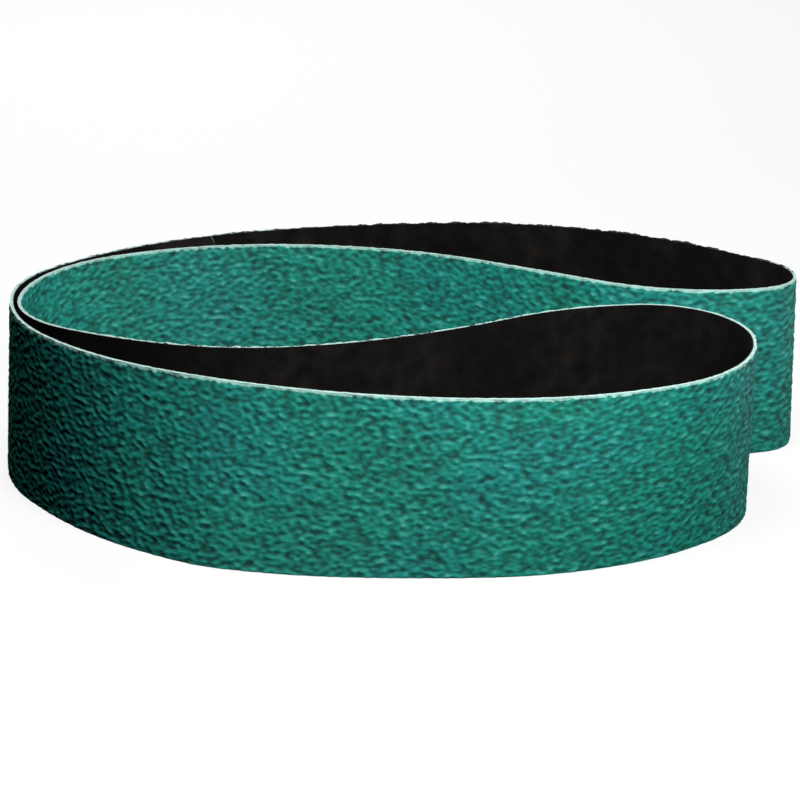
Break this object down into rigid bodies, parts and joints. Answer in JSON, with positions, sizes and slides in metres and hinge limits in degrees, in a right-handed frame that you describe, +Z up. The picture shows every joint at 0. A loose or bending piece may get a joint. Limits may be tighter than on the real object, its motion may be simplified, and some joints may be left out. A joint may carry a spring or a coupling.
{
  "type": "sanding belt",
  "caption": "Endless cloth-backed sanding belt with coarse green grain and a taped butt splice, folded into two lobes and standing on its edge.",
  "frame": {"origin": "on the surface that the belt stands on, under the middle of the folded belt's box", "axes": "+X from the fold's closed end to its two lobes, +Z up across the belt's width"},
  "size_m": [0.2284, 0.1598, 0.0508],
  "materials": {
    "back_coat": "dark cloth filling, matt",
    "backing_cloth": "woven polyester, pale at its cut edge",
    "make_coat": "cured resin",
    "abrasive_grain": "coarse crystals, P36",
    "size_coat": "cured resin over grain",
    "splice_film": "thin polyester film",
    "splice_adhesive": "cured polyurethane"
  },
  "bodies": {
    "root": {"back_coat": "back_coat", "backing_cloth": "backing_cloth", "make_coat": "make_coat", "abrasive_grain": "abrasive_grain", "size_coat": "size_coat", "splice_film": "splice_film", "splice_adhesive": "splice_adhesive"}
  },
  "joints": []
}
